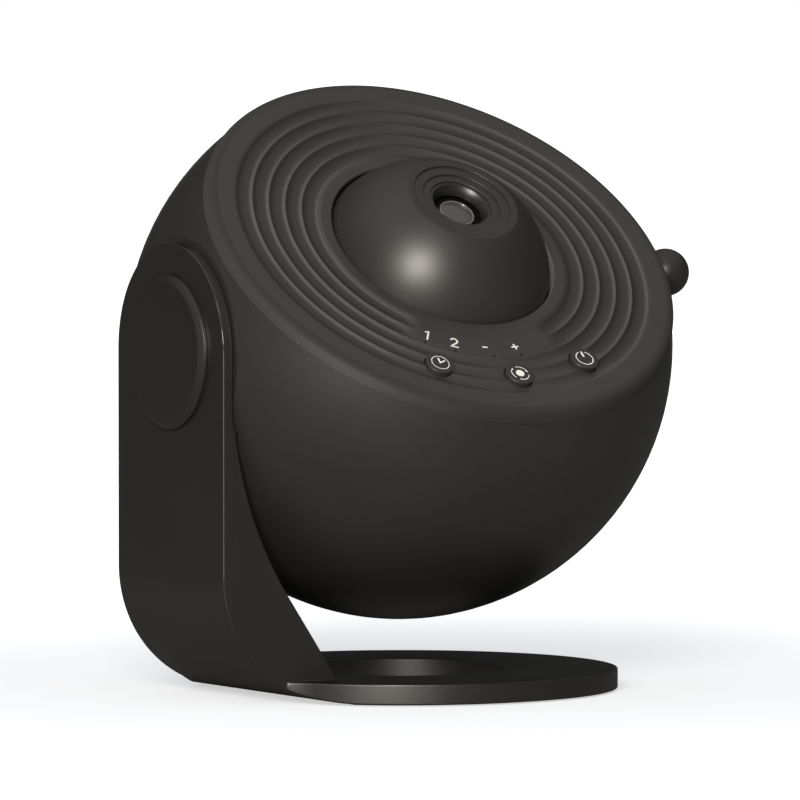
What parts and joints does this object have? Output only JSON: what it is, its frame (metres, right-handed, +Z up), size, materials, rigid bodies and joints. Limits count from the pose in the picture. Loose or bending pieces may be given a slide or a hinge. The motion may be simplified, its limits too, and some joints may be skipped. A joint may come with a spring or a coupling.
{
  "type": "planetarium projector",
  "caption": "Ball-shaped star projector head with a rippled face and lens dome, tilting on a one-armed stand with a ring base; focus lever and push buttons.",
  "frame": {"origin": "centre of the ring's bore, on the underside of the ring", "axes": "+Z up along the ring's bore; the arm stands at -X; the lens leans towards -Y"},
  "size_m": [0.1385, 0.1294, 0.143],
  "materials": {
    "stand_plastic": "fine-textured black moulded plastic",
    "head_plastic": "satin black moulded plastic",
    "button_plastic": "satin black plastic with printed white symbols",
    "pad_rubber": "matt silicone rubber",
    "inner_plastic": "moulded black plastic",
    "lens_cell": "blackened lens cell",
    "glass": "clear coated lens glass",
    "gear_plastic": "natural acetal",
    "film": "film between clear discs",
    "steel": "plated steel",
    "heat_sink": "extruded aluminium",
    "circuit_board": "green solder mask",
    "chips": "moulded component bodies",
    "led": "LED phosphor",
    "light_pipe": "clear acrylic",
    "leads": "insulated wire"
  },
  "bodies": {
    "stand": {"stand_bracket": "stand_plastic", "base_pad": "pad_rubber", "pivot_cap": "stand_plastic"},
    "head": {"bowl_shell": "head_plastic", "face_cover": "head_plastic", "cover_screws": "steel", "friction_washer": "gear_plastic", "retaining_washer": "steel", "pivot_screw": "steel", "optical_frame": "inner_plastic", "frame_screws": "steel", "guide_pins": "steel", "carrier_clip": "steel", "condenser_lens": "glass", "condenser_ring": "inner_plastic", "led_emitter": "led", "led_board": "heat_sink", "heat_sink": "heat_sink", "sink_screws": "steel", "disc_motor": "steel", "motor_screws": "steel", "main_board": "circuit_board", "board_parts": "chips", "usb_socket": "steel", "board_screws": "steel", "key_board": "circuit_board", "key_screws": "steel", "key_switches": "inner_plastic", "indicator_leds": "led", "light_pipes": "light_pipe", "led_leads": "leads", "motor_leads": "leads", "key_cable": "leads"},
    "focus": {"focus_ring": "inner_plastic", "lever_stem": "steel", "focus_knob": "head_plastic"},
    "seat": {"dome_seat": "inner_plastic", "follower_pins": "steel", "seat_magnets": "steel"},
    "dome": {"dome_cover": "head_plastic", "dome_magnets": "steel", "lens_barrel": "lens_cell", "front_lens": "glass", "lens_retainer": "lens_cell", "spacer_tube": "lens_cell", "rear_lens": "glass"},
    "disc": {"disc_carrier": "gear_plastic", "film_disc": "film"},
    "pinion": {"drive_pinion": "gear_plastic", "motor_shaft": "steel"},
    "timer_key": {"timer_button": "button_plastic"},
    "rotate_key": {"rotate_button": "button_plastic"},
    "power_key": {"power_button": "button_plastic"}
  },
  "joints": [
    {"name": "head_tilt", "type": "hinge", "parent": "stand", "child": "head", "pos_m": [-0.001, 0, 0.0814], "axis": [1, 0, 0], "continuous": true},
    {"name": "focus_turn", "type": "hinge", "parent": "head", "child": "focus", "pos_m": [-0.001, 0, 0.0814], "axis": [0, -0.6428, 0.766], "range_deg": [-20, 20]},
    {"name": "dome_rise", "type": "slide", "parent": "head", "child": "seat", "axis": [0, -0.6428, 0.766], "range_m": [-0.0008, 0.0008]},
    {"name": "dome_lift", "type": "slide", "parent": "seat", "child": "dome", "axis": [0, -0.6428, 0.766], "range_m": [0, 0.03]},
    {"name": "disc_spin", "type": "hinge", "parent": "head", "child": "disc", "pos_m": [-0.001, 0, 0.0814], "axis": [0, -0.6428, 0.766], "continuous": true},
    {"name": "pinion_spin", "type": "hinge", "parent": "head", "child": "pinion", "pos_m": [0.02186, 0.01011, 0.08988], "axis": [0, -0.6428, 0.766], "continuous": true},
    {"name": "timer_press", "type": "slide", "parent": "head", "child": "timer_key", "axis": [0, 0.6428, -0.766], "range_m": [0, 0.0006], "stiffness_N_per_m": 2000, "springref_m": -0.0002},
    {"name": "rotate_press", "type": "slide", "parent": "head", "child": "rotate_key", "axis": [0, 0.6428, -0.766], "range_m": [0, 0.0006], "stiffness_N_per_m": 2000, "springref_m": -0.0002},
    {"name": "power_press", "type": "slide", "parent": "head", "child": "power_key", "axis": [0, 0.6428, -0.766], "range_m": [0, 0.0006], "stiffness_N_per_m": 2000, "springref_m": -0.0002}
  ],
  "couplings": [
    {"joint": "dome_rise", "follows": "focus_turn", "m_per_rad": 0.0022918},
    {"joint": "disc_spin", "follows": "pinion_spin", "ratio": -0.22222}
  ]
}
